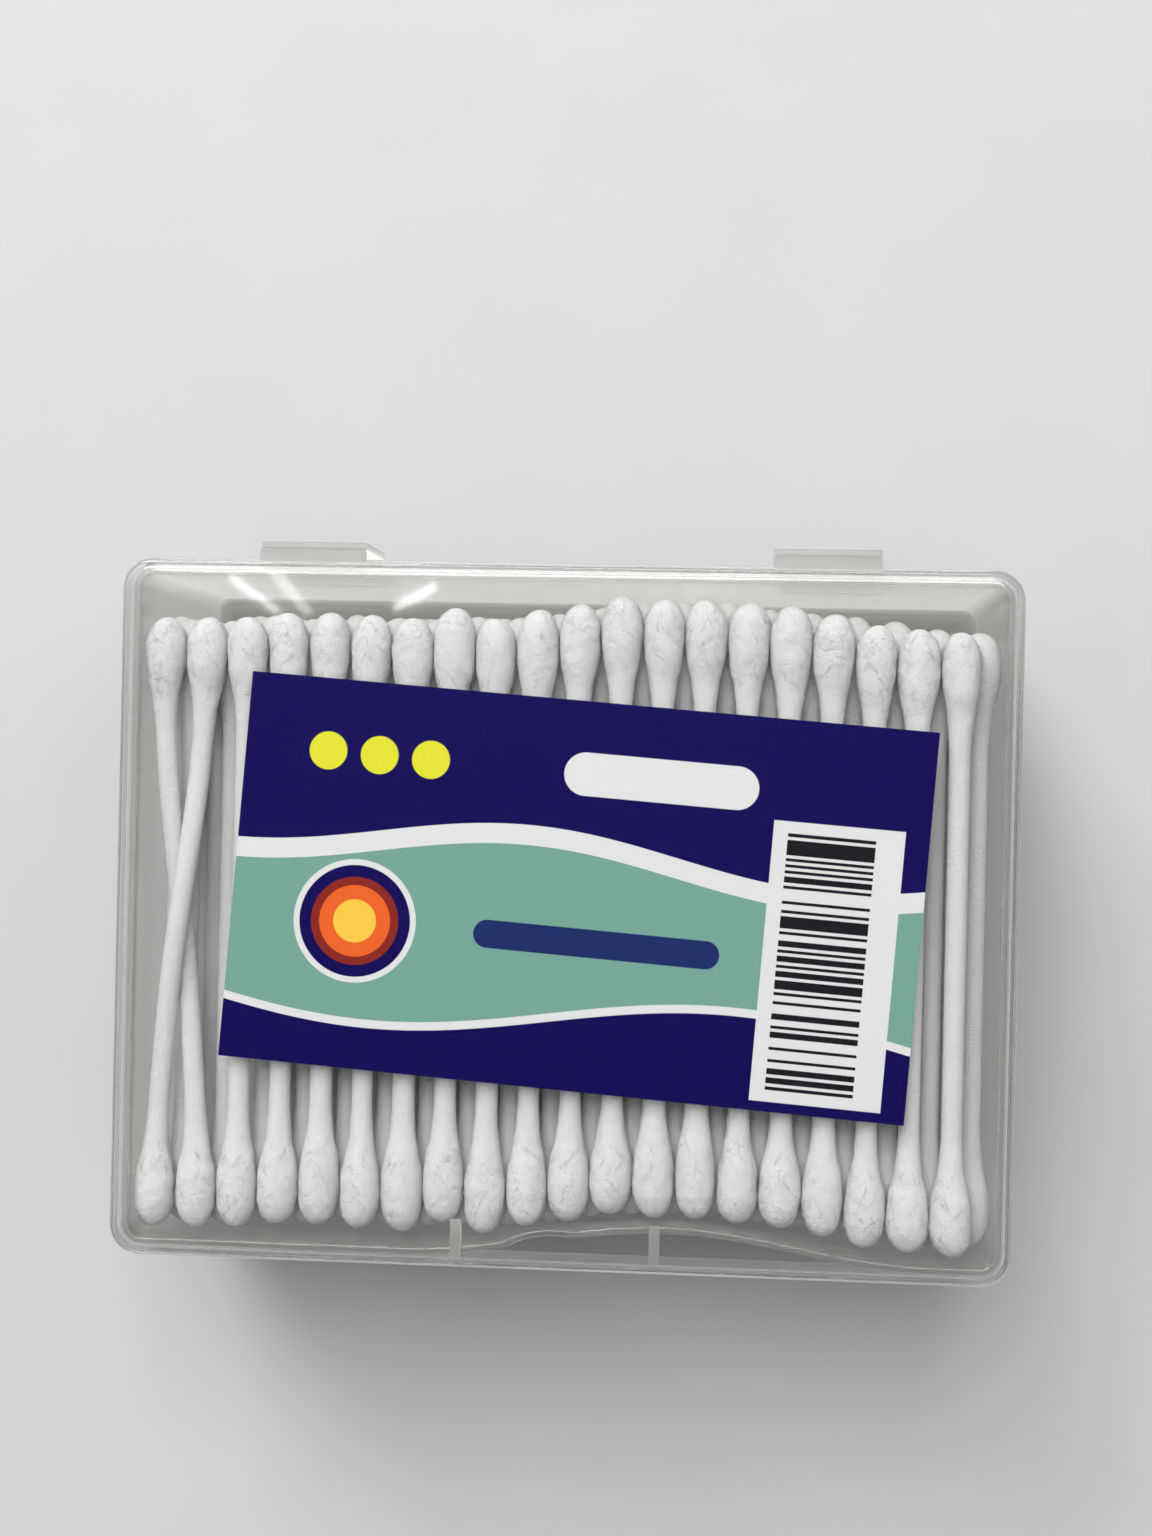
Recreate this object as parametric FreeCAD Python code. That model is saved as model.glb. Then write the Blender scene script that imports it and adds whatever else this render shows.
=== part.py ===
import FreeCAD, Part
import math
import os

# Cotton swab box, all sizes in millimetres.
# The clear case is one polypropylene moulding: tray, two hinge straps and lid. It holds ten rows of
# swabs with a printed card on top. X runs along the long side, the straps are at the back (+Y), the
# thumb scoop is at the front (-Y), and Z = 0 is the surface that the tray stands on.

# Cotton swab
swab_length = 74.0
swab_head_length = 14.5
swab_head_radius = 2.45
swab_tip_radius = 1.0
swab_stick_radius = 1.25

# How the swabs are packed: head beside head, each row sunk between the heads of the row below
row_count = 10
swabs_per_row = 20
head_gap = 0.14
side_gap = 0.11
swab_end_room = 2.95
row_overlap = 0.95
row_stagger = 1.0
packing_gap = 0.1
top_row_slides = [-2.1, -2.0, -1.9, -1.3, -1.2, -1.4, -1.7, -0.4, -1.6, -0.4,
                  0.3, 1.4, 1.1, 1.1, 0.8, 0.5, -0.4, -1.6, -2.0, -2.3]

# The first two swabs of the top row lie across each other
crossed_drop = 1.0
crossed_gap = 0.1
crossed_straight = 6.0

# Printed card that lies on the swabs
card_width = 82.0
card_depth = 46.3
card_thickness = 0.3
card_turn = -4.0
card_offset_x = 1.5
card_offset_y = 2.5
card_headroom = 1.05

# Lid
lid_top_thickness = 1.0
lid_wall = 0.8
lid_skirt_height = 7.5
lid_corner_radius = 3.6
lid_edge_radius = 0.7

# Tray
tray_wall = 0.75
tray_floor = 1.0
tray_foot_radius = 1.5
rim_gap = 0.25
rim_headroom = 1.0
flange_thickness = 1.0
flange_gap = 0.1

# Thumb scoop in the tray's front wall, a cone that opens upwards
scoop_axis_distance = 9.3
scoop_depth = 2.8
scoop_height = 18.0

# Guide fins under the lid, one on each side of the thumb scoop
fin_spacing = 23.6
fin_thickness = 1.2
fin_length = 4.8
fin_drop = 1.6
fin_gap = 0.3

# Hinge straps, each with a thin fold line at both ends
strap_width = 12.7
strap_spacing = 61.0
strap_thickness = 0.9
strap_end_gap = 0.1
strap_reach = 1.2
ledge_thickness = 0.9
ledge_gap = 0.05

# The case is made to fit its contents: its width, depth and heights follow from the packed swabs
swab_pitch = 2 * swab_head_radius + head_gap
row_pitch = 2 * swab_head_radius - row_overlap
row_base_z = tray_floor + packing_gap + swab_head_radius
top_row_z = row_base_z + (row_count - 1) * row_pitch
card_z = top_row_z + swab_head_radius + packing_gap
ceiling_z = card_z + card_thickness + card_headroom
case_height = ceiling_z + lid_top_thickness
skirt_z = case_height - lid_skirt_height
rim_z = ceiling_z - rim_headroom
inside_width = (swabs_per_row + 0.5) * swab_pitch - head_gap + 2 * side_gap
inside_depth = swab_length + 2 * swab_end_room
rim_width = inside_width + 2 * tray_wall
rim_depth = inside_depth + 2 * tray_wall
rim_radius = lid_corner_radius - lid_wall - rim_gap
case_width = rim_width + 2 * (rim_gap + lid_wall)
case_depth = rim_depth + 2 * (rim_gap + lid_wall)
fold_y = case_depth / 2 + strap_reach

# The ledge on the lid is flush with its top, and the two fold lines lie equally far above and below
# the skirt's edge, so that the lid swings clear of the tray and folds back level
high_fold_z = case_height - ledge_thickness
low_fold_z = 2 * skirt_z - high_fold_z
strap_length = high_fold_z - low_fold_z


def vector(x, y, z):
    return FreeCAD.Vector(x, y, z)


def rounded_outline(width, depth, radius, z):
    """Closed wire of a rectangle with round corners, centred on the Z axis at height z."""
    half_x = width / 2
    half_y = depth / 2
    edges = []
    for turn in range(4):
        angle = math.radians(90 * turn)
        side_x = half_x if turn % 2 == 0 else half_y
        side_y = half_y if turn % 2 == 0 else half_x

        def turned(x, y):
            cosine = math.cos(angle)
            sine = math.sin(angle)
            return vector(x * cosine - y * sine, x * sine + y * cosine, z)

        round_off = radius * (1 - math.cos(math.radians(45)))
        low = turned(side_x, radius - side_y)
        high = turned(side_x, side_y - radius)
        middle = turned(side_x - round_off, side_y - round_off)
        end = turned(side_x - radius, side_y)
        edges.append(Part.makeLine(low, high))
        edges.append(Part.Arc(high, middle, end).toShape())
    return Part.Wire(edges)


def rounded_block(width, depth, radius, z_low, z_high):
    """Upright block with round vertical edges."""
    face = Part.Face(rounded_outline(width, depth, radius, z_low))
    return face.extrude(vector(0, 0, z_high - z_low))


def tray_block(inset, z_low, z_high):
    """Upright block that follows the tray's rim, moved in by inset."""
    return rounded_block(rim_width - 2 * inset, rim_depth - 2 * inset, rim_radius - inset, z_low, z_high)


def edges_at(shape, z):
    """All edges of shape that lie level at height z."""
    return [edge for edge in shape.Edges if all(abs(point.Point.z - z) < 1e-6 for point in edge.Vertexes)]


def scoop_cone(extra_radius):
    """Cone of the thumb scoop, wider by extra_radius for the inner side of its wall."""
    low_z = rim_z - scoop_height
    low_radius = scoop_axis_distance + extra_radius
    slope = scoop_depth / scoop_height
    height = case_height - low_z
    axis_y = -rim_depth / 2 - scoop_axis_distance
    return Part.makeCone(low_radius, low_radius + slope * height, height, vector(0, axis_y, low_z))


def strap_places():
    """X of the left edge of each hinge strap."""
    return [side * strap_spacing / 2 - strap_width / 2 for side in (-1, 1)]


def make_tray():
    """Open tray with a seat flange for the lid, two hinge ledges and the thumb scoop."""
    walls = tray_block(0, 0, rim_z)
    walls = walls.makeFillet(tray_foot_radius, edges_at(walls, 0))
    cavity = tray_block(tray_wall, tray_floor, rim_z)
    flange_top = skirt_z - flange_gap
    tray = walls.fuse(
        rounded_block(case_width, case_depth, lid_corner_radius, flange_top - flange_thickness, flange_top)
    )
    wall_y = rim_depth / 2 - tray_wall
    for x in strap_places():
        ledge = Part.makeBox(strap_width, fold_y - ledge_gap - wall_y, ledge_thickness)
        ledge.translate(vector(x, wall_y, low_fold_z - ledge_thickness))
        tray = tray.fuse(ledge)
    tray = tray.cut(cavity)
    bulge = scoop_cone(tray_wall).common(walls)
    return tray.fuse(bulge).cut(scoop_cone(0)).removeSplitter()


def make_fin(x):
    """Guide fin: shallow over the tray's rim, then deeper, with a round inner end."""
    skirt_y = lid_wall - case_depth / 2
    inside_y = tray_wall + fin_gap - rim_depth / 2
    over_rim_z = rim_z + fin_gap
    low_z = ceiling_z - fin_drop
    end_y = skirt_y + fin_length
    round_y = end_y - fin_drop
    diagonal = fin_drop * math.cos(math.radians(45))
    corners = [
        (skirt_y, ceiling_z),
        (skirt_y, over_rim_z),
        (inside_y, over_rim_z),
        (inside_y, low_z),
        (round_y, low_z),
    ]
    points = [vector(x, y, z) for y, z in corners]
    end = vector(x, end_y, ceiling_z)
    edges = [Part.makeLine(a, b) for a, b in zip(points, points[1:])]
    edges.append(Part.Arc(points[-1], vector(x, round_y + diagonal, ceiling_z - diagonal), end).toShape())
    edges.append(Part.makeLine(end, points[0]))
    return Part.Face(Part.Wire(edges)).extrude(vector(fin_thickness, 0, 0))


def make_lid():
    """Lid with a skirt over the tray's rim, two hinge ledges and two guide fins."""
    lid = rounded_block(case_width, case_depth, lid_corner_radius, skirt_z, case_height)
    lid = lid.makeFillet(lid_edge_radius, edges_at(lid, case_height))
    inner_radius = lid_corner_radius - lid_wall
    lid = lid.cut(
        rounded_block(case_width - 2 * lid_wall, case_depth - 2 * lid_wall, inner_radius, skirt_z, ceiling_z)
    )
    wall_y = case_depth / 2 - lid_wall
    for x in strap_places():
        ledge = Part.makeBox(strap_width, fold_y - ledge_gap - wall_y, ledge_thickness)
        ledge.translate(vector(x, wall_y, high_fold_z))
        lid = lid.fuse(ledge)
    for side in (-1, 1):
        lid = lid.fuse(make_fin(side * fin_spacing / 2 - fin_thickness / 2))
    return lid.removeSplitter()


def make_strap(x):
    """Hinge strap that stands behind the closed case, between the two fold lines."""
    strap = Part.makeBox(strap_width, strap_thickness, strap_length - 2 * strap_end_gap)
    strap.translate(vector(x, fold_y + strap_end_gap, low_fold_z + strap_end_gap))
    return strap


def no_bend(y):
    """Straight middle line of a swab that lies along Y."""
    return 0.0, 0.0


def crossed_bend(side, lift):
    """Middle line of a swab that crosses its neighbour: half a pitch across and lifted in the middle."""
    half = swab_length / 2 - crossed_straight
    half_stick = swab_length / 2 - swab_head_length

    def bend(y):
        share = max(-1.0, min(1.0, y / half))
        across = 1.5 * share - 0.5 * share**3
        rise = math.cos(math.pi / 2 * min(1.0, abs(y) / half_stick)) ** 2
        return side * across * swab_pitch / 2, lift * rise

    return bend


def make_spindle(stations, sides, first_angle, bend):
    """Faceted solid along Y through rings of (distance, radius), closed by a flat face at each end."""
    rings = []
    for y, radius in stations:
        x, z = bend(y)
        angles = [math.radians(first_angle + 360 * k / sides) for k in range(sides)]
        rings.append([vector(x + radius * math.cos(a), y, z + radius * math.sin(a)) for a in angles])
    faces = [Part.Face(Part.makePolygon(ring + ring[:1])) for ring in (rings[0], rings[-1])]
    for near, far in zip(rings, rings[1:]):
        for k in range(sides):
            after = (k + 1) % sides
            corners = [near[k], near[after], far[after], far[k], near[k]]
            faces.append(Part.Face(Part.makePolygon(corners)))
    solid = Part.Solid(Part.Shell(faces))
    if solid.Volume < 0:
        solid.reverse()
    return solid


def swab_stations(head_shape, stick_steps):
    """Rings of a whole swab from one head's (share of head length, radius) pairs."""
    half = swab_length / 2
    near = [(share * swab_head_length - half, radius) for share, radius in head_shape]
    stick_start, stick_radius = near[-1]
    spans = [(2 * step / stick_steps - 1) * -stick_start for step in range(1, stick_steps)]
    return near + [(y, stick_radius) for y in spans] + [(-y, radius) for y, radius in reversed(near)]


def round_swab(bend, stick_steps):
    """Swab of the top row: teardrop heads of wound cotton on a thin stick."""
    head = [
        (0.0, swab_tip_radius),
        (0.1, 0.85 * swab_head_radius),
        (0.3, swab_head_radius),
        (0.6, 0.7 * swab_head_radius),
        (1.0, swab_stick_radius),
    ]
    return make_spindle(swab_stations(head, stick_steps), 8, 22.5, bend)


def packed_swab():
    """Swab of the rows below, drawn plainly: its soft heads are pressed six-sided by their neighbours."""
    head = [(0.0, swab_head_radius), (1.0, swab_stick_radius)]
    return make_spindle(swab_stations(head, 1), 6, 90, no_bend)


def swab_x(row, place):
    """X of a swab's middle: each row is moved a quarter pitch, left and right in turn."""
    side = -1 if row % 2 == 0 else 1
    return (place - (swabs_per_row - 1) / 2) * swab_pitch + side * swab_pitch / 4


def make_top_row():
    """Swabs of the top row, slid to and fro, with the first two crossed over each other."""
    straight = round_swab(no_bend, 1)
    crossed_x = (swab_x(0, 0) + swab_x(0, 1)) / 2
    crossed_raise = 2 * swab_stick_radius + crossed_gap - crossed_drop
    swabs = [round_swab(crossed_bend(-1, -crossed_drop), 8), round_swab(crossed_bend(1, crossed_raise), 8)]
    swabs += [straight.copy() for place in range(2, swabs_per_row)]
    for place, swab in enumerate(swabs):
        x = crossed_x if place < 2 else swab_x(0, place)
        slide = top_row_slides[place % len(top_row_slides)]
        swab.translate(vector(x, slide, top_row_z))
    return swabs


def make_row(row):
    """One hidden row as separate solids side by side, slid a little from the row above it."""
    model = packed_swab()
    slide = row_stagger if row % 2 == 1 else -row_stagger
    swabs = []
    for place in range(swabs_per_row):
        swab = model.copy()
        swab.translate(vector(swab_x(row, place), slide, top_row_z - row * row_pitch))
        swabs.append(swab)
    return swabs


def make_card():
    """Flat printed card, lying a little askew."""
    card = Part.makeBox(card_width, card_depth, card_thickness, vector(-card_width / 2, -card_depth / 2, 0))
    card.rotate(vector(0, 0, 0), vector(0, 0, 1), card_turn)
    card.translate(vector(card_offset_x, card_offset_y, card_z))
    return card


def make_parts():
    """Every node of the box, by name."""
    parts = {"tray": make_tray(), "lid": make_lid(), "label_card": make_card()}
    for name, x in zip(("hinge_strap_left", "hinge_strap_right"), strap_places()):
        parts[name] = make_strap(x)
    for place, swab in enumerate(make_top_row(), 1):
        parts[f"swab_{place:02d}"] = swab
    for row in range(1, row_count):
        parts[f"swab_row_{row + 1:02d}"] = Part.makeCompound(make_row(row))
    return parts


os.makedirs("parts", exist_ok=True)
for name, shape in make_parts().items():
    shape.exportStep(f"parts/{name}.step")
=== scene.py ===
import math
import random

import bmesh
import bpy
from mathutils import Euler, Matrix, Vector, noise


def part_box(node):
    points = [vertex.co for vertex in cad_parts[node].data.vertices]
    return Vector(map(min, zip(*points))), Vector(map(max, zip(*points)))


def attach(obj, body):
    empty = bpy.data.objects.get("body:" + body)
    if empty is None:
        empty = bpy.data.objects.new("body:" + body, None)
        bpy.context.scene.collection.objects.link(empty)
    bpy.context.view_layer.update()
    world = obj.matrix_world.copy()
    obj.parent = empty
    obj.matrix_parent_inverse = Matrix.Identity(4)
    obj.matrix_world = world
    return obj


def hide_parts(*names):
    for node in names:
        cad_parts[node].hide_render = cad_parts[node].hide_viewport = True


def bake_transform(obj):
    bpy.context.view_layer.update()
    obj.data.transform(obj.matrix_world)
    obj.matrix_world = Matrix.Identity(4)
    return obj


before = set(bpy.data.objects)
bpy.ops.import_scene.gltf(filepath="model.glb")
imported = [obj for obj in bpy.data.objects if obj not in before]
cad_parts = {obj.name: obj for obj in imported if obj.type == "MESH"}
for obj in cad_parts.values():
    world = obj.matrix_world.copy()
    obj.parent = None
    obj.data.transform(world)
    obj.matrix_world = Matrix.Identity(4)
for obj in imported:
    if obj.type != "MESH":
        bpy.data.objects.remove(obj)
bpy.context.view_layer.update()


# Tray: the open half of the case, one piece of injection-moulded polypropylene. A flange round the
# outside is the seat for the lid's skirt, and two small ledges at the back carry the hinge straps.
# The thin front wall has a thumb scoop, and in use it has bowed in to the right of that scoop.
MM = 0.001
tray_low, tray_high = [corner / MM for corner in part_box("tray")]
lid_low, lid_high = [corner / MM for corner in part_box("lid")]
strap_low, strap_high = [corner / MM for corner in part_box("hinge_strap_left")]
case_width = lid_high.x - lid_low.x
case_depth = -2 * lid_low.y
case_radius = 3.6
rim_inset = 1.05
rim_width = case_width - 2 * rim_inset
rim_depth = case_depth - 2 * rim_inset
rim_radius = case_radius - rim_inset
rim_z = tray_high.z
tray_wall = 0.75
tray_floor = 1.0
foot_radius = 1.5
floor_round = 0.9
edge_round = 0.2
seat_gap = 0.1
flange_top = lid_low.z - seat_gap
flange_thickness = 1.0
scoop_axis = 9.3
scoop_depth = 2.8
scoop_height = 18.0
scoop_low = rim_z - scoop_height
scoop_steps = 8
corner_steps = 8
level_band = 0.6
crease_angle = 40
front_steps = 116
front_reach = 48.0
bow_depth = 3.6
bow_middle = 13.0
bow_reach = 31.0
bow_foot = 6.0
bow_ring = 2.5
front_band = 3.0
ledge_thickness = 0.9
ledge_round = 0.12
strap_gap = 0.15
fold_gap = 0.1
ledge_end = strap_low.y - strap_gap
low_fold_z = strap_low.z - fold_gap
high_fold_z = strap_high.z + fold_gap


def linear(hex_colour):
    """An sRGB hex colour as linear RGBA."""
    shares = [int(hex_colour[k:k + 2], 16) / 255 for k in (1, 3, 5)]
    return [c / 12.92 if c <= 0.04045 else ((c + 0.055) / 1.055) ** 2.4 for c in shares] + [1.0]


def add_node(tree, kind, links=None, **settings):
    """Adds a shader node: settings go to its properties or input sockets, links to its inputs."""
    node = tree.nodes.new(kind)
    for key, value in settings.items():
        if hasattr(node, key):
            setattr(node, key, value)
        else:
            node.inputs[key.replace("_", " ")].default_value = value
    for key, source in (links or {}).items():
        tree.links.new(source, node.inputs[key])
    return node


def new_material(name):
    """An empty node material, its tree and its output."""
    material = bpy.data.materials.new(name)
    material.use_nodes = True
    material.node_tree.nodes.clear()
    return material, material.node_tree, add_node(material.node_tree, "ShaderNodeOutputMaterial")


def outline(width, depth, radius, inset, z):
    """Ring of points round a rectangle with round corners, with close points along the front. A short
    level band beside each corner keeps the shading of the flat walls flat."""
    points = []
    for turn, (side_x, side_y) in enumerate(((1, -1), (1, 1), (-1, 1), (-1, -1))):
        centre = Vector((side_x * (width / 2 - radius), side_y * (depth / 2 - radius), z))
        for step in range(corner_steps + 1):
            angle = math.radians(90 * (turn - 1 + step / corner_steps))
            reach = Vector((math.cos(angle), math.sin(angle), 0))
            along = Vector((-reach.y, reach.x, 0))
            corner = centre + (radius - inset) * reach
            if step == 0:
                points.append(corner - level_band * along)
            points.append(corner)
        points.append(corner + level_band * along)
    front_y = inset - depth / 2
    for step in range(front_steps + 1):
        points.append(Vector((front_reach * (2 * step / front_steps - 1), front_y, z)))
    return points


def swept_mesh(name, rings):
    """Closed mesh through rings of equal length, capped flat at the first and the last."""
    mesh = bpy.data.meshes.new(name)
    count = len(rings[0])
    points = [point * MM for ring in rings for point in ring]
    faces = [list(range(count)), list(range(len(points) - 1, len(points) - 1 - count, -1))]
    for k in range(len(rings) - 1):
        for i in range(count):
            j = (i + 1) % count
            faces.append([k * count + j, k * count + i, (k + 1) * count + i, (k + 1) * count + j])
    mesh.from_pydata(points, [], faces)
    mesh.validate()
    return mesh


def add_piece(name, mesh, material, body):
    """Links a mesh as a piece that rides on body."""
    piece = bpy.data.objects.new(name, mesh)
    bpy.context.scene.collection.objects.link(piece)
    mesh.materials.clear()
    mesh.materials.append(material)
    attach(piece, body)
    return piece


def finish_faces(mesh, degrees):
    """Outward normals, and smooth shading up to an angle between faces."""
    work = bmesh.new()
    work.from_mesh(mesh)
    bmesh.ops.remove_doubles(work, verts=work.verts, dist=0.0005 * MM)
    bmesh.ops.recalc_face_normals(work, faces=work.faces)
    work.to_mesh(mesh)
    work.free()
    mesh.shade_smooth()
    mesh.set_sharp_from_angle(angle=math.radians(degrees))


def arc_points(centre, radius, start, end, steps):
    """(inset, z) points on an arc, angles in degrees from the inset direction towards +Z."""
    angles = [math.radians(start + (end - start) * k / steps) for k in range(steps + 1)]
    return [(centre[0] + radius * math.cos(a), centre[1] + radius * math.sin(a)) for a in angles]


def rounded_box(low, high, radius):
    """Mesh of a box with rounded edges, from its corners in millimetres."""
    mesh = bpy.data.meshes.new("rounded_box")
    work = bmesh.new()
    bmesh.ops.create_cube(work, size=1.0)
    for vertex in work.verts:
        vertex.co = Vector([low[k] if vertex.co[k] < 0 else high[k] for k in range(3)]) * MM
    bmesh.ops.bevel(work, geom=work.edges[:], offset=radius * MM, segments=2, profile=0.5,
                    affect="EDGES")
    work.to_mesh(mesh)
    work.free()
    return mesh


def joined(mesh, others):
    """mesh as one solid with the others."""
    scene = bpy.context.scene
    base = bpy.data.objects.new("joined_base", mesh)
    scene.collection.objects.link(base)
    tools = []
    for other in others:
        tool = bpy.data.objects.new("joined_tool", other)
        scene.collection.objects.link(tool)
        union = base.modifiers.new("union", "BOOLEAN")
        union.operation = "UNION"
        union.solver = "EXACT"
        union.object = tool
        tools.append(tool)
    graph = bpy.context.evaluated_depsgraph_get()
    result = bpy.data.meshes.new_from_object(base.evaluated_get(graph))
    for item in [base] + tools:
        bpy.data.objects.remove(item)
    return result


def wall_bow(x, z):
    """How far the front wall has bowed in: most near the flange, nothing at the foot."""
    share = (x - bow_middle) / bow_reach
    if abs(share) >= 1 or z <= bow_foot:
        return 0.0
    height = min(1.0, (z - bow_foot) / (flange_top - bow_foot))
    return bow_depth * math.cos(math.pi / 2 * share) ** 2 * height**4


def front_wall(point, inset):
    """Moves a point of the tray's front wall in to the bow or to the cone of the thumb scoop."""
    if point.y > 0:
        return point
    front_y = point.y
    if point.y < -rim_depth / 2 + front_band:
        front_y += wall_bow(point.x, point.z)
    radius = scoop_axis + scoop_depth * (point.z - scoop_low) / scoop_height + max(inset, 0.0)
    if point.z > scoop_low and abs(point.x) < radius:
        front_y = max(front_y, -rim_depth / 2 - scoop_axis + math.sqrt(radius**2 - point.x**2))
    return Vector((point.x, front_y, point.z))


def moulded_polypropylene(name, tint, roughness, milkiness):
    """Clear polypropylene from a polished or a satin mould: see-through and a little grey, with glossy
    faces in slow waves. Seen along its walls it is milky, because the light crosses more of it, and
    the milk passes most of its light on. Lamps and scattered light come in as through tinted glass."""
    material, tree, output = new_material(name)
    place = add_node(tree, "ShaderNodeTexCoord")
    ripple = add_node(tree, "ShaderNodeTexNoise", {"Vector": place.outputs["Object"]},
                      Scale=1 / (14 * MM), Detail=2.0, Roughness=0.5)
    waves = add_node(tree, "ShaderNodeBump", {"Height": ripple.outputs["Fac"]}, Strength=0.05,
                     Distance=0.2 * MM)
    clear = add_node(tree, "ShaderNodeBsdfPrincipled", {"Normal": waves.outputs["Normal"]},
                     Base_Color=linear(tint), Roughness=roughness, IOR=1.49, Transmission_Weight=1.0)
    lit = add_node(tree, "ShaderNodeBsdfDiffuse", Color=linear("#E8E8E6"))
    glow = add_node(tree, "ShaderNodeBsdfTranslucent", Color=linear("#F0F0EE"))
    milk = add_node(tree, "ShaderNodeMixShader", {1: lit.outputs[0], 2: glow.outputs[0]}, Fac=0.85)
    slant = add_node(tree, "ShaderNodeLayerWeight", Blend=0.5)
    steep = add_node(tree, "ShaderNodeMath", {0: slant.outputs["Facing"]}, operation="POWER")
    steep.inputs[1].default_value = 2.5
    share = add_node(tree, "ShaderNodeMapRange", {"Value": steep.outputs[0]}, To_Min=milkiness,
                     To_Max=0.75)
    body = add_node(tree, "ShaderNodeMixShader",
                    {0: share.outputs[0], 1: clear.outputs[0], 2: milk.outputs[0]})
    open_air = add_node(tree, "ShaderNodeBsdfTransparent", Color=linear(tint))
    path = add_node(tree, "ShaderNodeLightPath")
    lamp = add_node(tree, "ShaderNodeMath",
                    {0: path.outputs["Is Shadow Ray"], 1: path.outputs["Is Diffuse Ray"]},
                    operation="MAXIMUM")
    surface = add_node(tree, "ShaderNodeMixShader",
                       {0: lamp.outputs[0], 1: body.outputs[0], 2: open_air.outputs[0]})
    tree.links.new(surface.outputs[0], output.inputs["Surface"])
    return material


def hinge_ledge(low_x, high_x, wall_y, low_z):
    """Mesh of a hinge ledge that starts inside the wall."""
    high = (high_x, ledge_end, low_z + ledge_thickness)
    return rounded_box((low_x, wall_y, low_z), high, ledge_round)


strap_edges = []
for side in ("left", "right"):
    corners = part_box(f"hinge_strap_{side}")
    strap_edges.append((corners[0].x / MM, corners[1].x / MM))
# The tray's copy is tinted greyer than the lid's, though both are one moulding. Its satin finish is real,
# but the greyer tint is painted shade that darkens the margins seen through the tray.
satin_shade_tinted_polypropylene = moulded_polypropylene("satin_shade_tinted_polypropylene", "#E6E6E4", 0.16, 0.1)
flange_low = flange_top - flange_thickness
tray_profile = [(foot_radius + level_band, 0.0)]
tray_profile += arc_points((foot_radius, foot_radius), foot_radius, 270, 180, 6)
tray_profile += [(0.0, foot_radius + level_band)]
tray_profile += [(0.0, scoop_low + scoop_height * k / scoop_steps) for k in range(0, 5)]
tray_profile += [(0.0, flange_low), (edge_round - rim_inset, flange_low)]
tray_profile += [(-rim_inset, flange_low + edge_round), (-rim_inset, flange_top - edge_round)]
tray_profile += [(edge_round - rim_inset, flange_top), (0.0, flange_top)]
tray_profile += [(0.0, flange_top + bow_ring)]
tray_profile += arc_points((edge_round, rim_z - edge_round), edge_round, 180, 90, 3)
tray_profile += arc_points((tray_wall - edge_round, rim_z - edge_round), edge_round, 90, 0, 3)
tray_profile += [(tray_wall, rim_z - scoop_height * k / scoop_steps) for k in range(1, scoop_steps + 1)]
tray_profile += [(tray_wall, tray_floor + floor_round + level_band)]
tray_profile += arc_points((tray_wall + floor_round, tray_floor + floor_round), floor_round, 180, 270, 5)
tray_profile += [(tray_wall + floor_round + level_band, tray_floor)]
tray_rings = []
for inset, z in tray_profile:
    ring = outline(rim_width, rim_depth, rim_radius, inset, z)
    tray_rings.append([front_wall(point, min(inset, tray_wall)) for point in ring])
tray_mesh = swept_mesh("tray_shell", tray_rings)
finish_faces(tray_mesh, crease_angle)
wall_y = rim_depth / 2 - tray_wall / 2
low_ledges = [hinge_ledge(a, b, wall_y, low_fold_z - ledge_thickness) for a, b in strap_edges]
tray_mesh = joined(tray_mesh, low_ledges)
finish_faces(tray_mesh, crease_angle)
tray_piece = add_piece("tray_shell", tray_mesh, satin_shade_tinted_polypropylene, "base")
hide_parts("tray")


# Lid: the other half of the same polypropylene moulding. Its skirt drops over the tray's rim, its
# top edge is rounded, and two guide fins moulded inside the front lead it over that rim.
lid_wall = 0.8
lid_top = 1.0
lid_edge = 0.7
ceiling_z = lid_high.z - lid_top
ceiling_round = 0.4
skirt_round = 0.15
fin_spacing = 23.6
fin_thickness = 1.2
fin_length = 4.8
fin_drop = 1.6
fin_gap = 0.3
fin_seam = 0.02
fin_steps = 8
fin_crease = 30


def fin_mesh(middle_x):
    """Guide fin: shallow over the tray's rim, then deeper, with a round inner end."""
    skirt_y = lid_wall - case_depth / 2 + fin_seam
    inside_y = tray_wall + fin_gap - rim_depth / 2
    end_y = lid_wall - case_depth / 2 + fin_length
    low_z = ceiling_z - fin_drop
    top_z = ceiling_z - fin_seam
    over_rim = rim_z + fin_gap
    section = [(skirt_y, top_z), (skirt_y, over_rim), (inside_y, over_rim), (inside_y, low_z)]
    for step in range(fin_steps + 1):
        angle = math.radians(90 * step / fin_steps)
        y = end_y - fin_drop * (1 - math.sin(angle))
        section.append((y, top_z - (fin_drop - fin_seam) * math.cos(angle)))
    rings = []
    for side in (-1, 1):
        x = middle_x + side * fin_thickness / 2
        rings.append([Vector((x, y, z)) for y, z in section])
    mesh = swept_mesh("guide_fin", rings)
    finish_faces(mesh, fin_crease)
    return mesh


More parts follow.
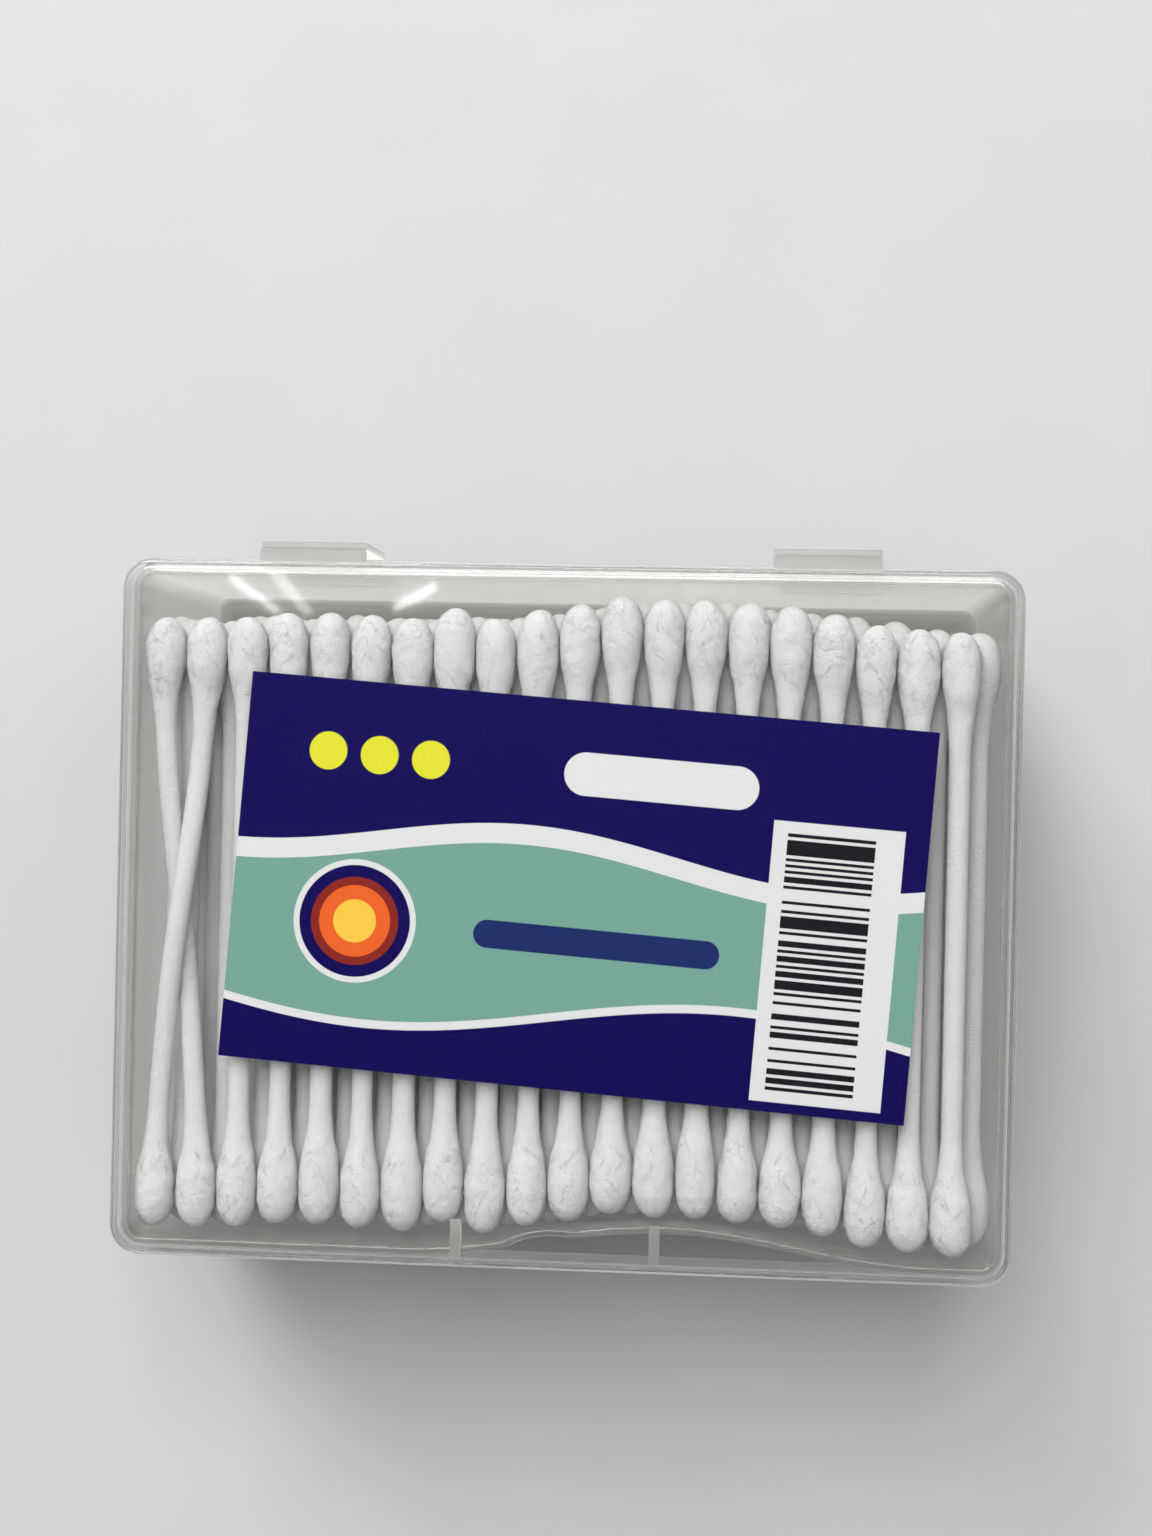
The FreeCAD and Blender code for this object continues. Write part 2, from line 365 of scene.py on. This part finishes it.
polished_polypropylene = moulded_polypropylene("polished_polypropylene", "#F7F7F6", 0.03, 0.002)
milky_polypropylene = moulded_polypropylene("milky_polypropylene", "#F6F6F4", 0.3, 0.8)
lid_profile = [(lid_edge + level_band, lid_high.z)]
lid_profile += arc_points((lid_edge, lid_high.z - lid_edge), lid_edge, 90, 180, 6)
lid_profile += [(0.0, lid_high.z - lid_edge - level_band)]
lid_profile += [(0.0, lid_low.z + skirt_round), (skirt_round, lid_low.z)]
lid_profile += [(lid_wall - skirt_round, lid_low.z), (lid_wall, lid_low.z + skirt_round)]
lid_profile += [(lid_wall, ceiling_z - ceiling_round - level_band)]
lid_profile += arc_points((lid_wall + ceiling_round, ceiling_z - ceiling_round), ceiling_round, 180, 90, 5)
lid_profile += [(lid_wall + ceiling_round + level_band, ceiling_z)]
lid_rings = [outline(case_width, case_depth, case_radius, inset, z) for inset, z in lid_profile]
lid_mesh = swept_mesh("lid_shell", lid_rings)
finish_faces(lid_mesh, crease_angle)
wall_y = case_depth / 2 - lid_wall / 2
high_ledges = [hinge_ledge(a, b, wall_y, high_fold_z) for a, b in strap_edges]
lid_mesh = joined(lid_mesh, high_ledges)
finish_faces(lid_mesh, crease_angle)
lid_piece = add_piece("lid_shell", lid_mesh, polished_polypropylene, "lid")
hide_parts("lid")
# The hinge ledges, outside the back wall, are milky.
lid_mesh.materials.append(milky_polypropylene)
for polygon in lid_mesh.polygons:
    polygon.material_index = 1 if polygon.center.y > case_depth / 2 * MM else 0
for name, side in (("guide_fin_left", -1), ("guide_fin_right", 1)):
    fin = add_piece(name, fin_mesh(side * fin_spacing / 2), milky_polypropylene, "lid")


# Hinge straps: two stiff plates of the same polypropylene behind the case, each joined to tray and
# lid by a film thin enough to fold, the only places where the real moulding bends. Here the films are fixed
# meshes that ride on no body.
strap_round = 0.15
film_thickness = 0.25
film_overlap = 0.5
film_bend = 0.2
film_margin = 0.2
film_steps = 6
fold_y = strap_low.y - fold_gap


def film_mesh(low_x, high_x, fold_z, side):
    """Thin film from a ledge's end, round a quarter turn, to the strap's end."""
    near_y, far_y = fold_y - fold_gap, fold_y + fold_gap
    bottom = [Vector((0, fold_y - film_overlap, fold_z)), Vector((0, near_y, fold_z))]
    for step in range(1, film_steps):
        angle = math.radians(90 * step / film_steps)
        rise = film_bend * (1 - math.cos(angle))
        bottom.append(Vector((0, near_y + film_bend * math.sin(angle), fold_z + side * rise)))
    bottom.append(Vector((0, far_y, fold_z + side * film_bend)))
    bottom.append(Vector((0, far_y, fold_z + side * film_overlap)))
    outer = []
    for k, point in enumerate(bottom):
        before = bottom[max(k - 1, 0)]
        after = bottom[min(k + 1, len(bottom) - 1)]
        along = (after - before).normalized()
        outer.append(point + Vector((0, side * along.z, -side * along.y)) * film_thickness)
    section = bottom + outer[::-1]
    rings = [[Vector((x, point.y, point.z)) for point in section] for x in (low_x, high_x)]
    mesh = swept_mesh("hinge_film", rings)
    finish_faces(mesh, crease_angle)
    return mesh


for side, (low_x, high_x) in zip(("left", "right"), strap_edges):
    corners = [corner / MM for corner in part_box(f"hinge_strap_{side}")]
    strap_mesh = rounded_box(corners[0], corners[1], strap_round)
    finish_faces(strap_mesh, crease_angle)
    strap = add_piece(f"strap_plate_{side}", strap_mesh, milky_polypropylene, "hinge_straps")
    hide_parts(f"hinge_strap_{side}")
    for level, fold_z, turn, pair in (("low", low_fold_z, 1, ("base", "hinge_straps")),
                                      ("high", high_fold_z, -1, ("hinge_straps", "lid"))):
        mesh = film_mesh(low_x + film_margin, high_x - film_margin, fold_z, turn)
        film = bpy.data.objects.new(f"hinge_film_{level}_{side}", mesh)
        bpy.context.scene.collection.objects.link(film)
        mesh.materials.append(milky_polypropylene)
        if level == "low":
            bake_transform(film)
        else:
            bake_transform(film)


# Cotton swabs: a thin white stick with a teardrop of carded cotton wound on each end. Ten rows of
# twenty lie side by side in the tray, each row half a pitch across from the next, and the first two
# swabs of the top row cross.
swab_count = 20
row_count = 10
head_length = 14.5
stick_radius = 1.25
crossed_drop = 1.0
crossed_gap = 0.1
crossed_straight = 6.0
top_low, top_high = [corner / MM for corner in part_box("swab_03")]
swab_length = top_high.y - top_low.y
swab_pitch = (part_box("swab_04")[0].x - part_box("swab_03")[0].x) / MM
slide_share = 0.9
slide_spread = (-0.5, 0.4)
bow_clearance = 0.3
head_rise = 1.5
dice = random.Random(7)
# A head's radius at distances from its tip.
head_shape = [(0.0, 0.0), (0.1, 0.62), (0.4, 1.2), (0.9, 1.7), (1.6, 2.08), (2.6, 2.36), (3.8, 2.45),
              (5.0, 2.44), (6.2, 2.38), (7.4, 2.22), (8.6, 1.96), (9.8, 1.7), (11.5, 1.48), (13.2, 1.35),
              (14.5, 1.27)]
shoulder_length = 5.0
lean_reach = 1.6
rough_radius = 1.2
lump_height = 0.13
tuft_height = 0.05
down_height = 0.035
# Rings to a head and points to a ring. The rings stand closer at the tip.
top_detail = (56, 44)
row_detail = (20, 14)
ring_spacing = 1.6
stick_steps = 6
seed_step = 100
# Stray fibres are drawn 0.05 mm thick, where real ones are 0.02 mm, so that they show.
fibre_count = 110
fibre_radius = 0.025
fibre_height = 0.4
fibre_sink = 0.06
fibre_steps = 4


def head_section(distance):
    """Radius of a head at a distance from its tip: a round end, a full belly, then a soft shoulder."""
    for (near, low), (far, high) in zip(head_shape, head_shape[1:]):
        if distance <= far:
            return low + (high - low) * (distance - near) / (far - near)
    return stick_radius


def new_head(end, own, seed):
    """The chance shape of one wound head: its size, stretch, flat side, leaning tip and lumps."""
    return {"end": end, "size": own.uniform(1.0, 1.08), "stretch": own.uniform(0.92, 1.14),
            "flat": own.uniform(0.0, 0.05), "turn": own.uniform(0, math.pi),
            "tip": (own.uniform(-0.3, 0.3), own.uniform(-0.2, 0.2)),
            "seed": Vector((own.random(), end, seed))}


def head_point(head, distance, angle, bend, lift=0.0):
    """Point on a head, at a distance from its tip and an angle round it: lumpy and uneven as wound
    cotton is. lift raises it off the surface."""
    y = head["end"] * (swab_length / 2 - distance)
    radius = head_section(distance / head["stretch"])
    cotton_share = max(0.0, min(1.0, (head_length - distance) / shoulder_length))
    swell = max(0.0, radius - stick_radius) * (head["size"] - 1) * cotton_share
    lean = math.exp(-distance / lean_reach) - math.exp(-head_length / lean_reach)
    around = Vector((math.cos(angle), distance / 2.0, math.sin(angle)))
    tuft_place = Vector((around.x * 3.0, distance * 1.6, around.z * 3.0))
    down_place = Vector((around.x * 7.0, distance * 3.4, around.z * 7.0))
    lump = noise.noise(around * 1.1 + head["seed"] * 7.3) * lump_height
    tuft = noise.noise(tuft_place + head["seed"] * 3.1) * tuft_height
    down = noise.noise(down_place + head["seed"] * 5.7) * down_height
    rough = (lump + tuft + down) * min(1.0, radius / rough_radius) * cotton_share
    squash = 1 - head["flat"] * (0.5 + 0.5 * math.cos(2 * (angle - head["turn"]))) * cotton_share
    reach = (radius + swell) * squash + rough + lift
    offset_x, offset_z = bend(y)
    x = offset_x + reach * math.cos(angle) + head["tip"][0] * lean
    z = offset_z + reach * math.sin(angle) + head["tip"][1] * lean
    return Vector((x, y, z))


def stray_fibre(head, bend, own):
    """Rings of one fibre that arches off a head and dips in again at both ends."""
    distance, angle = own.uniform(0.5, 9.5), own.uniform(0, 2 * math.pi)
    run, turn = own.uniform(-1.8, 1.8), own.uniform(-0.6, 0.6)
    height = own.uniform(0.12, fibre_height)
    middles = []
    for step in range(fibre_steps + 1):
        share = step / fibre_steps
        lift = height * math.sin(math.pi * share) - fibre_sink
        spot = max(0.05, distance + run * share)
        middles.append(head_point(head, spot, angle + turn * share, bend, lift))
    corners = [math.radians(degrees) for degrees in (90, -30, -150)]
    rings = []
    for step, middle in enumerate(middles):
        along = (middles[min(step + 1, fibre_steps)] - middles[max(step - 1, 0)]).normalized()
        turned = angle + turn * step / fibre_steps
        up = Vector((math.cos(turned), 0, math.sin(turned)))
        side = along.cross(up)
        rings.append([middle + fibre_radius * (math.sin(c) * up + math.cos(c) * side) for c in corners])
    return rings


def swab_points(centre, seed, bend, detail, fibres):
    """Rings of one swab along Y, then the rings of its stray fibres."""
    own = random.Random(seed)
    steps, sides = detail
    heads = [new_head(end, own, seed) for end in (-1, 1)]
    distances = [0.01] + [head_length * (k / steps) ** ring_spacing for k in range(1, steps + 1)]
    spots = [(heads[0], distance) for distance in distances]
    spots += [(heads[1], distance) for distance in distances[::-1]]
    turns = [2 * math.pi * k / sides for k in range(sides)]
    body = []
    for head, distance in spots:
        body.append([centre + head_point(head, distance, angle, bend) for angle in turns])
    strays = [stray_fibre(head, bend, own) for head in heads for k in range(fibres)]
    return body, [[[centre + point for point in ring] for ring in stray] for stray in strays]


def straight(y):
    """Middle line of a straight swab."""
    return 0.0, 0.0


def crossed(side, lift):
    """Middle line of a swab that crosses its neighbour: half a pitch across and lifted in the middle."""
    half = swab_length / 2 - crossed_straight
    half_stick = swab_length / 2 - head_length

    def bend(y):
        share = max(-1.0, min(1.0, y / half))
        across = 1.5 * share - 0.5 * share**3
        rise = math.cos(math.pi / 2 * min(1.0, abs(y) / half_stick)) ** 2
        return side * across * swab_pitch / 2, lift * rise

    return bend


def stick_fill(rings, centre, bend, sides):
    """Adds rings along the stick so that it can bend."""
    middle = len(rings) // 2
    reach = swab_length / 2 - head_length
    angles = [2 * math.pi * k / sides for k in range(sides)]
    rounds = [Vector((stick_radius * math.cos(a), 0, stick_radius * math.sin(a))) for a in angles]
    extra = []
    for step in range(1, 2 * stick_steps):
        y = reach * (step / stick_steps - 1)
        offset_x, offset_z = bend(y)
        axis = centre + Vector((offset_x, y, offset_z))
        extra.append([axis + point for point in rounds])
    return rings[:middle] + extra + rings[middle:]


def swab_mesh(name, rings_of_swabs):
    """One mesh of several swabs."""
    points, faces = [], []
    for rings in rings_of_swabs:
        base, count = len(points), len(rings[0])
        points += [point * MM for ring in rings for point in ring]
        faces.append([base + i for i in range(count)])
        faces.append([base + (len(rings) - 1) * count + i for i in reversed(range(count))])
        for k in range(len(rings) - 1):
            for i in range(count):
                j = (i + 1) % count
                low, high = base + k * count, base + (k + 1) * count
                faces.append([low + j, low + i, high + i, high + j])
    mesh = bpy.data.meshes.new(name)
    mesh.from_pydata(points, [], faces)
    mesh.shade_smooth()
    return mesh


def wound_cotton():
    """Bleached cotton wound dry: a matt white of fine fibres, soft at the edge where they stand off,
    with some light scattered under the surface. Real fibres are 0.02 mm thick; their pattern is drawn
    at 0.38 mm so that it shows."""
    material, tree, output = new_material("wound_cotton")
    place = add_node(tree, "ShaderNodeTexCoord")
    wound = add_node(tree, "ShaderNodeMapping", {"Vector": place.outputs["Object"]}, Scale=(1.0, 3.2, 1.0))
    fibres = add_node(tree, "ShaderNodeTexNoise", {"Vector": wound.outputs[0]}, Scale=1 / (0.38 * MM),
                      Detail=5.0, Roughness=0.65, Distortion=0.6)
    tufts = add_node(tree, "ShaderNodeTexNoise", {"Vector": place.outputs["Object"]}, Scale=1 / (1.1 * MM),
                     Detail=4.0, Roughness=0.6)
    height = add_node(tree, "ShaderNodeMath", {0: fibres.outputs["Fac"], 1: tufts.outputs["Fac"]},
                      operation="ADD")
    bump = add_node(tree, "ShaderNodeBump", {"Height": height.outputs[0]}, Strength=1.0,
                    Distance=0.7 * MM)
    shade = add_node(tree, "ShaderNodeMix", {"Factor": tufts.outputs["Fac"]}, data_type="RGBA")
    shade.inputs[6].default_value = linear("#F8F9FB")
    shade.inputs[7].default_value = linear("#FFFFFF")
    cotton = add_node(tree, "ShaderNodeBsdfPrincipled",
                      {"Base Color": shade.outputs[2], "Normal": bump.outputs["Normal"]},
                      Roughness=0.95, Sheen_Weight=0.25, Sheen_Roughness=0.5, Specular_IOR_Level=0.2,
                      Subsurface_Weight=0.6, Subsurface_Scale=2.5 * MM)
    cotton.inputs["Subsurface Radius"].default_value = (1.0, 1.0, 1.0)
    tree.links.new(cotton.outputs[0], output.inputs["Surface"])
    return material


cotton = wound_cotton()
crossed_raise = 2 * stick_radius + crossed_gap - crossed_drop
top_slides = []
for place in range(swab_count):
    node = f"swab_{place + 1:02d}"
    low, high = [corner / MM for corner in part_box(node)]
    middle = (low + high) / 2
    top_slides.append((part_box(node)[0].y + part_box(node)[1].y) / 2 / MM)
    bend = straight
    if place < 2:
        bend = crossed(-1, -crossed_drop) if place == 0 else crossed(1, crossed_raise)
        middle.z = (top_low.z + top_high.z) / 2
    rings, strays = swab_points(middle, seed_step + place, bend, top_detail, fibre_count)
    if place < 2:
        rings = stick_fill(rings, middle, bend, top_detail[1])
    piece = add_piece(f"cotton_swab_{place + 1:02d}", swab_mesh(node, [rings] + strays), cotton, "base")
    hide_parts(node)
for row in range(2, row_count + 1):
    node = f"swab_row_{row:02d}"
    low, high = [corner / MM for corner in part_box(node)]
    swabs = []
    for place in range(swab_count):
        near = top_slides[max(place - 1, 0):place + 2]
        centre = (low + high) / 2 + Vector(((place - (swab_count - 1) / 2) * swab_pitch, 0, 0))
        centre.y = slide_share * sum(near) / len(near) + dice.uniform(*slide_spread)
        bow = wall_bow(centre.x, centre.z + head_rise)
        bowed_room = rim_depth / 2 - tray_wall - swab_length / 2 - bow - bow_clearance
        centre.y = max(centre.y, -bowed_room)
        swabs.append(swab_points(centre, seed_step * row + place, straight, row_detail, 0)[0])
    piece = add_piece(f"cotton_row_{row:02d}", swab_mesh(node, swabs), cotton, "base")
    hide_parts(node)


# Printed card: one loose rectangle of white board, 0.3 mm thick, offset-printed on the upper side in
# dark blue and sea green. It lies askew on the swabs, and its cut edge shows white.
card_width = 82.0
card_depth = 46.3
card_turn = math.radians(-4.0)
card_low, card_high = [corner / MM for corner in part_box("label_card")]
card_centre = (card_low + card_high) / 2
bar_pitch = 0.36
bar_share = 0.52


def printed_board():
    """Coated board printed in flat colours under a thin varnish, for a soft sheen."""
    material, tree, output = new_material("printed_board")
    place = add_node(tree, "ShaderNodeTexCoord")
    turned = add_node(tree, "ShaderNodeMapping", {"Vector": place.outputs["Object"]},
                      vector_type="TEXTURE", Location=card_centre * MM, Rotation=(0, 0, card_turn),
                      Scale=(MM, MM, MM))
    split = add_node(tree, "ShaderNodeSeparateXYZ", {0: turned.outputs[0]})
    across, up = split.outputs[0], split.outputs[1]

    def compute(operation, first, second=None):
        """Result of one sum, of numbers or of sockets."""
        node = add_node(tree, "ShaderNodeMath", operation=operation)
        for socket, value in zip(node.inputs, (first, second)):
            if isinstance(value, (int, float)):
                socket.default_value = value
            elif value is not None:
                tree.links.new(value, socket)
        return node.outputs[0]

    def inside(distance):
        """1 where a signed distance in millimetres is below zero, with a crisp edge."""
        return compute("MINIMUM", compute("MAXIMUM", compute("MULTIPLY", distance, -25.0), 0.0), 1.0)

    def wave_line(level, swing, wavelength, start):
        """Height of a wavy line over the card."""
        phase = compute("MULTIPLY", compute("SUBTRACT", across, start), 2 * math.pi / wavelength)
        return compute("ADD", compute("MULTIPLY", compute("COSINE", phase), swing), level)

    def past(coordinate, middle, half):
        """Distance beyond a half width on either side of a middle."""
        return compute("SUBTRACT", compute("ABSOLUTE", compute("SUBTRACT", coordinate, middle)), half)

    def capsule(x, y, half, radius):
        """Distance to a level bar with round ends."""
        along = compute("MAXIMUM", past(across, x, half), 0.0)
        off = compute("SUBTRACT", up, y)
        square = compute("ADD", compute("MULTIPLY", along, along), compute("MULTIPLY", off, off))
        return compute("SUBTRACT", compute("SQRT", square), radius)

    def block(x, y, half_x, half_y):
        """Distance to an upright rectangle."""
        return compute("MAXIMUM", past(across, x, half_x), past(up, y, half_y))

    def paint(under, mask, colour):
        """Lays a colour over what is under it, where the mask is 1."""
        mix = add_node(tree, "ShaderNodeMix", {"Factor": mask}, data_type="RGBA")
        for socket, value in ((mix.inputs[6], under), (mix.inputs[7], colour)):
            if isinstance(value, str):
                socket.default_value = linear(value)
            else:
                tree.links.new(value, socket)
        return mix.outputs[2]

    # The blue field and the green band with its two white stripes, in millimetres from the middle.
    navy, green, white = "#08014C", "#6C988B", "#D0D0D2"
    top_stripe, low_stripe = 2.4, 1.0
    top_line = wave_line(5.6, 2.3, 71.0, -6.0)
    low_line = wave_line(-15.2, 2.9, 88.0, 20.0)
    picture = navy
    for line, colour in ((top_line, white), (compute("SUBTRACT", top_line, top_stripe), green),
                         (compute("ADD", low_line, low_stripe), white), (low_line, navy)):
        picture = paint(picture, inside(compute("SUBTRACT", up, line)), colour)
    # The white bar, the dots, the ring medallion and the blue bar: middle, half length, radius.
    shapes = [(9.0, 14.5, 9.0, 2.6, white)]
    shapes += [(x, 14.5, 0.0, 2.3, "#D2CF30") for x in (-31.0, -24.8, -18.6)]
    for radius, colour in ((7.4, white), (6.7, navy), (5.3, "#7E221A"), (4.3, "#DA5C24"), (2.6, "#E6BA42")):
        shapes.append((-26.0, -5.5, 0.0, radius, colour))
    shapes.append((3.0, -5.5, 13.0, 1.7, "#17275E"))
    for x, y, half, radius, colour in shapes:
        picture = paint(picture, inside(capsule(x, y, half, radius)), colour)
    # The white panel and its bars, which stand in for a code and hold no number.
    picture = paint(picture, inside(block(30.4, -5.4, 7.75, 16.6)), white)
    count = compute("FLOOR", compute("DIVIDE", up, bar_pitch))
    odds = add_node(tree, "ShaderNodeTexWhiteNoise", {"W": count}, noise_dimensions="1D")
    bar = compute("LESS_THAN", odds.outputs["Value"], bar_share)
    bars = compute("MULTIPLY", inside(block(29.6, -5.4, 5.2, 15.2)), bar)
    picture = paint(picture, bars, "#17151C")
    grain = add_node(tree, "ShaderNodeTexNoise", {"Vector": place.outputs["Object"]},
                     Scale=1 / (0.5 * MM), Detail=4.0)
    tooth = add_node(tree, "ShaderNodeBump", {"Height": grain.outputs["Fac"]}, Strength=0.15,
                     Distance=0.02 * MM)
    board = add_node(tree, "ShaderNodeBsdfPrincipled",
                     {"Base Color": picture, "Normal": tooth.outputs["Normal"]}, Roughness=0.32,
                     Specular_IOR_Level=0.08)
    tree.links.new(board.outputs[0], output.inputs["Surface"])
    return material


def white_board():
    """Uncoated side and cut edge of the board: matt white paper fibre."""
    material, tree, output = new_material("white_board")
    place = add_node(tree, "ShaderNodeTexCoord")
    grain = add_node(tree, "ShaderNodeTexNoise", {"Vector": place.outputs["Object"]},
                     Scale=1 / (0.3 * MM), Detail=4.0)
    shade = add_node(tree, "ShaderNodeMix", {"Factor": grain.outputs["Fac"]}, data_type="RGBA")
    shade.inputs[6].default_value = linear("#E4E4E2")
    shade.inputs[7].default_value = linear("#F2F2F0")
    tooth = add_node(tree, "ShaderNodeBump", {"Height": grain.outputs["Fac"]}, Strength=0.3,
                     Distance=0.03 * MM)
    paper = add_node(tree, "ShaderNodeBsdfPrincipled",
                     {"Base Color": shade.outputs[2], "Normal": tooth.outputs[0]}, Roughness=0.9)
    tree.links.new(paper.outputs[0], output.inputs["Surface"])
    return material


card_mesh = bpy.data.meshes.new("printed_card")
work = bmesh.new()
bmesh.ops.create_cube(work, size=1.0)
card_size = Vector((card_width, card_depth, card_high.z - card_low.z)) * MM
for vertex in work.verts:
    vertex.co = Vector([vertex.co[k] * card_size[k] for k in range(3)])
bmesh.ops.rotate(work, verts=work.verts, matrix=Matrix.Rotation(card_turn, 3, "Z"))
bmesh.ops.translate(work, verts=work.verts, vec=card_centre * MM)
work.to_mesh(card_mesh)
work.free()
card = add_piece("printed_card", card_mesh, printed_board(), "base")
card_mesh.materials.append(white_board())
for polygon in card_mesh.polygons:
    polygon.material_index = 0 if polygon.normal.z > 0.5 else 1
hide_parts("label_card")


# Studio: a pale floor, two broad soft lamps and a pale room. Three narrow lamps make the streaks of
# light on the lid. The soft box isn't mirrored, and mirrored or bent rays find the room dark
# overhead, so the lid lays no veil of light over the card.
def add_lamp(name, place, size, power, aim=(0.0, 0.0, 0.03)):
    """Square soft lamp at a place in metres, turned towards aim."""
    data = bpy.data.lights.new(name, "AREA")
    data.size = size
    data.energy = power
    lamp = bpy.data.objects.new(name, data)
    lamp.location = place
    lamp.rotation_euler = (Vector(aim) - Vector(place)).to_track_quat("-Z", "Y").to_euler()
    bpy.context.scene.collection.objects.link(lamp)
    return lamp


def pale_floor():
    """Matt table top in a pale grey."""
    material, tree, output = new_material("pale_floor")
    place = add_node(tree, "ShaderNodeTexCoord")
    grain = add_node(tree, "ShaderNodeTexNoise", {"Vector": place.outputs["Object"]}, Scale=40.0)
    shade = add_node(tree, "ShaderNodeMix", {"Factor": grain.outputs["Fac"]}, data_type="RGBA")
    shade.inputs[6].default_value = linear("#AEAEAE")
    shade.inputs[7].default_value = linear("#B3B3B3")
    matt = add_node(tree, "ShaderNodeBsdfPrincipled", {"Base Color": shade.outputs[2]}, Roughness=0.8,
                    Specular_IOR_Level=0.2)
    tree.links.new(matt.outputs[0], output.inputs["Surface"])
    return material


floor_half = 3
floor_corners = [(x * floor_half, y * floor_half, 0) for x, y in ((-1, -1), (1, -1), (1, 1), (-1, 1))]
floor_mesh = bpy.data.meshes.new("floor")
floor_mesh.from_pydata(floor_corners, [], [(0, 1, 2, 3)])
floor = bpy.data.objects.new("floor", floor_mesh)
floor_mesh.materials.append(pale_floor())
bpy.context.scene.collection.objects.link(floor)
add_lamp("key", (-0.45, 0.92, 0.75), 0.5, 9.5)
soft_box = add_lamp("soft_box", (-0.06, 0.45, 0.92), 0.55, 7.6)
soft_box.visible_glossy = False
strip_power = 0.0028
# Each strip's place, the spot on the lid that it shines at, its length and width, and its turn.
for name, place, aim, length, width, turn in (
    ("strip_1", (-0.227, 0.099, 0.9), (-0.037, 0.037, 0.044), 0.030, 0.003, -37.0),
    ("strip_2", (-0.211, 0.103, 0.9), (-0.034, 0.038, 0.044), 0.034, 0.005, -49.0),
    ("strip_3", (-0.147, 0.099, 0.9), (-0.018, 0.037, 0.044), 0.022, 0.003, 27.0),
):
    strip = add_lamp(name, place, length, strip_power, aim)
    strip.data.shape = "RECTANGLE"
    strip.data.size_y = width
    back = (Vector(place) - Vector(aim)).normalized()
    level = Vector((math.cos(math.radians(turn)), math.sin(math.radians(turn)), 0))
    along = level.cross(back).normalized()
    strip.rotation_euler = Matrix((along.cross(-back), along, back)).transposed().to_euler()
# The room is brighter behind the box and above it. Rays from the camera see one pale backdrop.
world = bpy.data.worlds.new("pale_room")
world.use_nodes = True
room = world.node_tree
direction = add_node(room, "ShaderNodeTexCoord")
upward = add_node(room, "ShaderNodeSeparateXYZ", {0: direction.outputs["Generated"]})
overhead = add_node(room, "ShaderNodeMapRange", {"Value": upward.outputs["Z"]},
                    interpolation_type="SMOOTHSTEP", From_Min=0.55, From_Max=0.9, To_Min=1.0,
                    To_Max=0.04)
ray = add_node(room, "ShaderNodeLightPath")
bent = add_node(room, "ShaderNodeMath",
                {0: ray.outputs["Is Glossy Ray"], 1: ray.outputs["Is Transmission Ray"]},
                operation="MAXIMUM")
mirrored = add_node(room, "ShaderNodeMix", {"Factor": bent.outputs[0], "B": overhead.outputs["Result"]},
                    data_type="FLOAT")
mirrored.inputs[2].default_value = 1.0
window = add_node(room, "ShaderNodeMapRange", {"Value": upward.outputs["Y"]}, From_Min=-1.0,
                  From_Max=1.0, To_Min=0.3, To_Max=1.7)
sky = add_node(room, "ShaderNodeMapRange", {"Value": upward.outputs["Z"]}, From_Min=0.0,
               From_Max=1.0, To_Min=0.6, To_Max=1.2)
slope = add_node(room, "ShaderNodeMath", {0: sky.outputs["Result"], 1: window.outputs["Result"]},
                 operation="MULTIPLY")
share = add_node(room, "ShaderNodeMath", {0: mirrored.outputs[0], 1: slope.outputs[0]}, operation="MULTIPLY")
seen = add_node(room, "ShaderNodeMix", {"Factor": ray.outputs["Is Camera Ray"], "A": share.outputs[0]},
                data_type="FLOAT")
seen.inputs[3].default_value = 0.9
grey = add_node(room, "ShaderNodeMix", {"Factor": seen.outputs[0]}, data_type="RGBA", clamp_factor=False)
grey.inputs[6].default_value = linear("#000000")
grey.inputs[7].default_value = linear("#CDCED0")
room.links.new(grey.outputs[2], room.nodes["Background"].inputs["Color"])
room.nodes["Background"].inputs["Strength"].default_value = 1.1
bpy.context.scene.world = world


# Camera: a phone held nearly straight above the box, a little to the right and back of its middle.
camera_place = Vector((22.7, 17.9, 315.2)) * MM
camera_degrees = (0.05, 4.48, 1.26)
view_height_pixels = 1536
focal_pixels = 2308.0
sensor_height = 36.0
camera_data = bpy.data.cameras.new("camera")
camera_data.sensor_fit = "VERTICAL"
camera_data.sensor_height = sensor_height
camera_data.lens = sensor_height * focal_pixels / view_height_pixels
camera_data.clip_start = 0.01
camera = bpy.data.objects.new("camera", camera_data)
camera.location = camera_place
camera.rotation_euler = Euler([math.radians(turn) for turn in camera_degrees], "XYZ")
bpy.context.scene.collection.objects.link(camera)
bpy.context.scene.camera = camera
# Standard shows the materials' colours as they are given here.
bpy.context.scene.view_settings.view_transform = "Standard"
